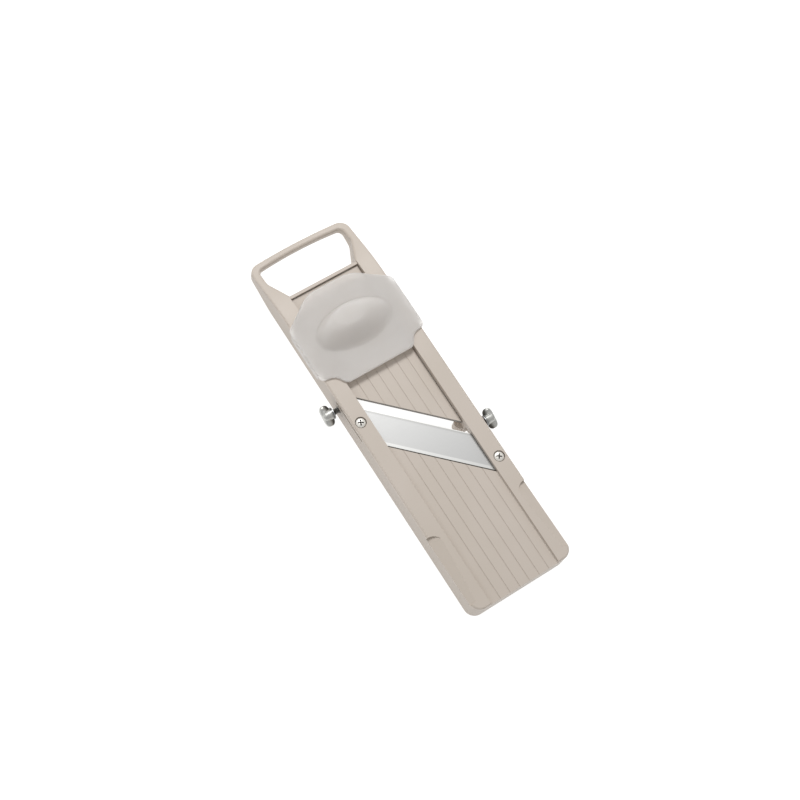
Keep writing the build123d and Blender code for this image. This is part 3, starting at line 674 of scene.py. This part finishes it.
# ------------------------------------------------------------------------- hand guard
# A frosted polypropylene moulding 2 mm thick: a sheet over the rails with lips down their
# outer sides, swelling in the middle into a hollow oval grip that holds the food, with
# short spikes below. It is milky, so a little of the beige shows through. The grip is
# drawn lower and rounder than the CAD solid's.
GUARD_AT = (0.0, 0.0775)
GUARD_LOW, GUARD_T = 0.02365, 0.002
DOME_A, DOME_B, DOME_H = 0.0325, 0.018, 0.0175
DOME_LOWER, HOLLOW_LOWER, DOME_BLEND = 0.82, 0.80, 0.003
DOME_WALL, DOME_FOOT = 0.002, 0.0025
# How far the grip's two sides differ: the lean towards the foot along Y and along X, the
# wall's run at the handle side and what the foot side adds, the crown's fall, and how
# much wider the blend grows.
LEAN_Y, LEAN_X = 0.6, 0.25
WALL_RUN, WALL_RUN_MORE = 0.26, 0.30
CROWN_FALL, BLEND_MORE = 0.16, 6.0
# Rings are closer together over the grip, which ends at this share of the outline.
GRIP_SHARE, GRIP_ROWS = 0.62, 74
SHEET_SHARE, SHEET_ROWS = 0.63, 16
LIP_X, LIP_Y, LIP_Z = (0.0471, 0.0735, 0.02113)          # middle of the right lip
LIP_HALF = (0.0011, 0.0205, 0.00353)
LIP_SQUARE, LIP_ENDS = 0.3, 14
GUARD_EDGE = np.array((
    (0, 38.0), (29.0, 38.0), (31.4, 39.4), (33.4, 42.0), (35.1, 44.9), (37.0, 46.6),
    (39.8, 47.8), (43.0, 48.3), (46.0, 48.9), (47.6, 50.3), (48.15, 52.5), (48.15, 94.0),
    (47.5, 96.8), (45.0, 99.4), (39.3, 103.4), (33.0, 107.7), (28.6, 111.0), (24.0, 113.9),
    (19.2, 116.1), (14.0, 116.95), (0, 116.95),
)) * 0.001
# A faint warm white emission is painted light: the guard glows a little, which lightens it
# and flattens its shading.
milky_glowing = textured(
    "frosted_polypropylene_glowing", "#E8E3DE", "#E2DCD6", 0.5, 0.0011, 0.00001, 0.03, Alpha=0.68,
    Emission_Color=(1, 0.97, 0.94, 1), Emission_Strength=0.05,
    Subsurface_Weight=1.0, Subsurface_Radius=(1.0, 1.0, 1.0), Subsurface_Scale=0.012,
)


def guard_edge(angle):
    """Distance from the guard's middle to its outline in each direction, read off the
    outline's corners after they are laid along both sides."""
    right_side = GUARD_EDGE - GUARD_AT
    left_side = right_side[-2:0:-1] * (-1, 1)
    corners = np.concatenate([right_side, left_side])
    dense = np.concatenate([
        corners + (np.roll(corners, -1, axis=0) - corners) * t
        for t in np.linspace(0, 1, 40, endpoint=False)
    ])
    bearing = np.arctan2(dense[:, 1], dense[:, 0])
    order = np.argsort(bearing)
    return np.interp(angle, bearing[order], np.hypot(*dense[order].T), period=2 * np.pi)


def dome(x, y, half_a, half_b, high, edge):
    """Height of the oval grip: the lower of a wall that falls with the elliptic distance
    from the middle, gentler towards the foot than towards the handle, and a crowned
    top. They blend over a width that grows towards the foot."""
    reach = np.hypot(x / half_a, y / half_b)
    towards_foot = np.clip(0.5 - y / half_b * LEAN_Y + x / half_a * LEAN_X, 0, 1)
    wall = (1 - reach) / (WALL_RUN + WALL_RUN_MORE * towards_foot) * high
    crown = high * (1 - CROWN_FALL * reach ** 2)
    width = edge * (1 + BLEND_MORE * towards_foot)
    mix = np.clip(0.5 + (wall - crown) / (2 * width), 0, 1)
    both = wall * (1 - mix) + crown * mix - width * mix * (1 - mix)
    foot = np.clip(0.5 + both / (2 * DOME_FOOT), 0, 1)
    return both * foot + DOME_FOOT * foot * (1 - foot)


def guard_shell(columns=420):
    """The sheet and grip as one closed skin: rings from the middle outward on top, round
    the 1 mm edge, and back to the middle below, each ring a share of the outline."""
    angle = np.linspace(-np.pi, np.pi, columns, endpoint=False)
    reach = guard_edge(angle)
    half = GUARD_T / 2
    share = np.concatenate([
        np.linspace(0, GRIP_SHARE, GRIP_ROWS), np.linspace(SHEET_SHARE, 1, SHEET_ROWS),
    ])[:, None]
    turn = np.linspace(0, np.pi, 9)[1:-1]
    flat = share * (reach - half)
    round_off = (reach - half) + half * np.sin(turn)[:, None]
    radius = np.concatenate([flat, round_off, flat[::-1]])
    x, y = radius * np.cos(angle), radius * np.sin(angle)
    top, under = slice(0, len(share)), slice(-len(share), None)
    above = GUARD_LOW + GUARD_T + dome(
        x[top], y[top], DOME_A, DOME_B, DOME_H * DOME_LOWER, DOME_BLEND
    )
    rim = GUARD_LOW + half + half * np.cos(turn)[:, None] * np.ones(columns)
    below = GUARD_LOW + dome(
        x[under], y[under], DOME_A - DOME_WALL, DOME_B - DOME_WALL, DOME_H * HOLLOW_LOWER,
        DOME_BLEND,
    )
    z = np.concatenate([above, rim, below])
    return np.stack([x + GUARD_AT[0], y + GUARD_AT[1], z], axis=-1)


def lip(side, rows=30, columns=24):
    """One side lip: a superellipse section swept along Y, both ends rounded off."""
    way = np.linspace(-1, 1, rows)[:, None]
    size = (1 - np.abs(way) ** LIP_ENDS) ** 0.5
    a, b = superellipse(columns, LIP_SQUARE)
    x = side * (LIP_X + LIP_HALF[0] * size * a)
    y = LIP_Y + LIP_HALF[1] * way * np.ones(columns)
    z = LIP_Z + LIP_HALF[2] * size * b
    return np.stack([x, y, z], axis=-1)


SPIKE_R, SPIKE_TIP, SPIKE_ROUND = 0.0012, 0.00045, 0.0002
SPIKE_ROOT, SPIKE_L = 0.0004, 0.0022
SPIKE_ROWS, SPIKE_STEP, SPIKES_A_ROW = (-0.031, -0.025, 0.025, 0.031), 0.009, 6
spike = turned([
    (0, GUARD_LOW + SPIKE_ROOT), (SPIKE_R, GUARD_LOW + SPIKE_ROOT), (SPIKE_R, GUARD_LOW),
    (SPIKE_TIP, GUARD_LOW - SPIKE_L + SPIKE_ROUND),
    (SPIKE_TIP - SPIKE_ROUND, GUARD_LOW - SPIKE_L), (0, GUARD_LOW - SPIKE_L),
], 16)
spikes = [
    spike + ((column - (SPIKES_A_ROW - 1) / 2) * SPIKE_STEP, GUARD_AT[1] + y, 0)
    for y in SPIKE_ROWS for column in range(SPIKES_A_ROW)
]
make_piece(
    "hand_guard", [guard_shell(), lip(-1), lip(1), *spikes], milky_glowing, "guard",
    "guard", sharp=60,
)
